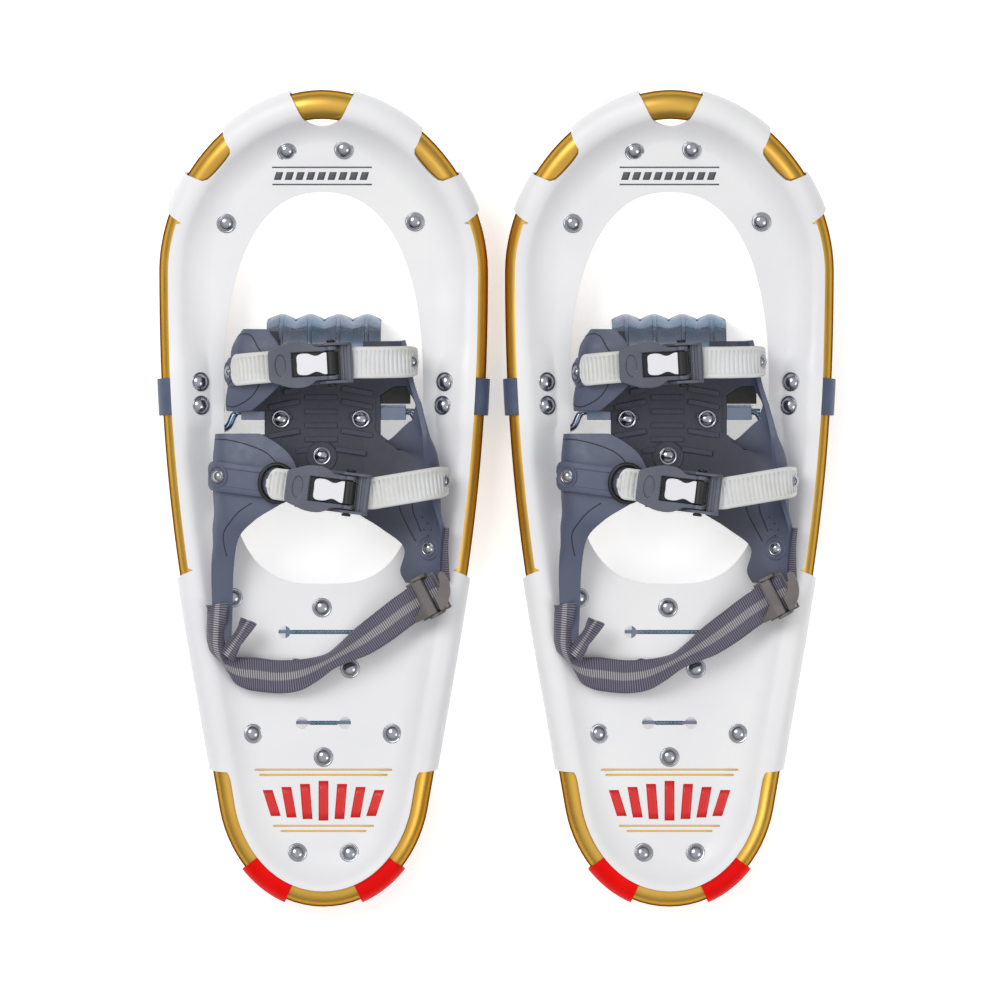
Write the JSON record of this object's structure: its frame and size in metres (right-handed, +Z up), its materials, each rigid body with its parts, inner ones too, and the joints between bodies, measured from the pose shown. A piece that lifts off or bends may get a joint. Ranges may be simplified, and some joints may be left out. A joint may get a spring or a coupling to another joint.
{
  "type": "pair of snowshoes",
  "caption": "Pair of tube-frame snowshoes with riveted decks, pivoting toe crampons, ratchet-strap bindings and webbing heel straps.",
  "frame": {"origin": "on the ground, midway between the two shoes, at half their length", "axes": "+Y along the shoes towards the toes, +X to the wearer's right, +Z up"},
  "size_m": [0.4442, 0.5332, 0.0895],
  "materials": {
    "gold_tube": "gold coated, glossy",
    "deck_sheet": "pearl white coated sheet",
    "red_tab": "satin",
    "grey_band": "matt",
    "zinc_steel": "bright zinc plated",
    "harness_plastic": "moulded, matt",
    "ladder_plastic": "satin",
    "release_plastic": "glossy",
    "keeper_rubber": "matt",
    "webbing": "woven",
    "cam_plastic": "moulded, satin"
  },
  "bodies": {
    "left_shoe": {"left_frame_tube": "gold_tube", "left_deck": "deck_sheet", "left_tail_tab_buckle_side": "red_tab", "left_tail_tab_ladder_side": "red_tab", "left_pivot_band_buckle_side": "grey_band", "left_pivot_band_ladder_side": "grey_band", "left_pivot_axle": "zinc_steel", "left_heel_crampon": "zinc_steel"},
    "left_binding": {"left_toe_crampon": "zinc_steel", "left_harness": "harness_plastic", "left_toe_strap_arm": "harness_plastic", "left_toe_ladder_strap": "ladder_plastic", "left_toe_buckle_base": "harness_plastic", "left_toe_buckle_pin": "zinc_steel", "left_instep_strap_arm": "harness_plastic", "left_instep_ladder_strap": "ladder_plastic", "left_instep_buckle_base": "harness_plastic", "left_instep_buckle_pin": "zinc_steel", "left_strap_keeper": "keeper_rubber", "left_heel_webbing": "webbing", "left_heel_tab": "webbing", "left_cam_buckle": "cam_plastic"},
    "left_toe_lever": {"left_toe_buckle_lever": "harness_plastic"},
    "left_toe_release": {"left_toe_release_tab": "release_plastic"},
    "left_instep_lever": {"left_instep_buckle_lever": "harness_plastic"},
    "left_instep_release": {"left_instep_release_tab": "release_plastic"},
    "left_cam": {"left_cam_lever": "cam_plastic"},
    "right_shoe": {"right_frame_tube": "gold_tube", "right_deck": "deck_sheet", "right_tail_tab_buckle_side": "red_tab", "right_tail_tab_ladder_side": "red_tab", "right_pivot_band_buckle_side": "grey_band", "right_pivot_band_ladder_side": "grey_band", "right_pivot_axle": "zinc_steel", "right_heel_crampon": "zinc_steel"},
    "right_binding": {"right_toe_crampon": "zinc_steel", "right_harness": "harness_plastic", "right_toe_strap_arm": "harness_plastic", "right_toe_ladder_strap": "ladder_plastic", "right_toe_buckle_base": "harness_plastic", "right_toe_buckle_pin": "zinc_steel", "right_instep_strap_arm": "harness_plastic", "right_instep_ladder_strap": "ladder_plastic", "right_instep_buckle_base": "harness_plastic", "right_instep_buckle_pin": "zinc_steel", "right_strap_keeper": "keeper_rubber", "right_heel_webbing": "webbing", "right_heel_tab": "webbing", "right_cam_buckle": "cam_plastic"},
    "right_toe_lever": {"right_toe_buckle_lever": "harness_plastic"},
    "right_toe_release": {"right_toe_release_tab": "release_plastic"},
    "right_instep_lever": {"right_instep_buckle_lever": "harness_plastic"},
    "right_instep_release": {"right_instep_release_tab": "release_plastic"},
    "right_cam": {"right_cam_lever": "cam_plastic"}
  },
  "joints": [
    {"name": "left_binding_pivot", "type": "hinge", "parent": "left_shoe", "child": "left_binding", "pos_m": [-0.11335, 0.058, 0.0234], "axis": [-1, 0, 0], "range_deg": [0, 60]},
    {"name": "left_toe_lever_hinge", "type": "hinge", "parent": "left_binding", "child": "left_toe_lever", "pos_m": [-0.10645, 0.0885, 0.0795], "axis": [-0.0523, 0.9986, 0], "range_deg": [0, 100]},
    {"name": "left_toe_release_hinge", "type": "hinge", "parent": "left_binding", "child": "left_toe_release", "pos_m": [-0.10645, 0.0885, 0.0795], "axis": [-0.0523, 0.9986, 0], "range_deg": [0, 20], "stiffness_Nm_per_rad": 0.02},
    {"name": "left_instep_lever_hinge", "type": "hinge", "parent": "left_binding", "child": "left_instep_lever", "pos_m": [-0.09535, 0.0046, 0.0855], "axis": [0.1219, 0.9925, 0], "range_deg": [0, 100]},
    {"name": "left_instep_release_hinge", "type": "hinge", "parent": "left_binding", "child": "left_instep_release", "pos_m": [-0.09535, 0.0046, 0.0855], "axis": [0.1219, 0.9925, 0], "range_deg": [0, 20], "stiffness_Nm_per_rad": 0.02},
    {"name": "left_cam_lever_hinge", "type": "hinge", "parent": "left_binding", "child": "left_cam", "pos_m": [-0.04535, -0.063, 0.0542], "axis": [-0.4676, 0.8839, -0.0014], "range_deg": [0, 80]},
    {"name": "right_binding_pivot", "type": "hinge", "parent": "right_shoe", "child": "right_binding", "pos_m": [0.11335, 0.058, 0.0234], "axis": [-1, 0, 0], "range_deg": [0, 60]},
    {"name": "right_toe_lever_hinge", "type": "hinge", "parent": "right_binding", "child": "right_toe_lever", "pos_m": [0.12025, 0.0885, 0.0795], "axis": [-0.0523, 0.9986, 0], "range_deg": [0, 100]},
    {"name": "right_toe_release_hinge", "type": "hinge", "parent": "right_binding", "child": "right_toe_release", "pos_m": [0.12025, 0.0885, 0.0795], "axis": [-0.0523, 0.9986, 0], "range_deg": [0, 20], "stiffness_Nm_per_rad": 0.02},
    {"name": "right_instep_lever_hinge", "type": "hinge", "parent": "right_binding", "child": "right_instep_lever", "pos_m": [0.13135, 0.0046, 0.0855], "axis": [0.1219, 0.9925, 0], "range_deg": [0, 100]},
    {"name": "right_instep_release_hinge", "type": "hinge", "parent": "right_binding", "child": "right_instep_release", "pos_m": [0.13135, 0.0046, 0.0855], "axis": [0.1219, 0.9925, 0], "range_deg": [0, 20], "stiffness_Nm_per_rad": 0.02},
    {"name": "right_cam_lever_hinge", "type": "hinge", "parent": "right_binding", "child": "right_cam", "pos_m": [0.18135, -0.063, 0.0542], "axis": [-0.4676, 0.8839, -0.0014], "range_deg": [0, 80]},
    {"name": "right_shoe_lift", "type": "slide", "parent": "left_shoe", "child": "right_shoe", "axis": [0, 0, 1], "range_m": [0, 0.2]}
  ]
}
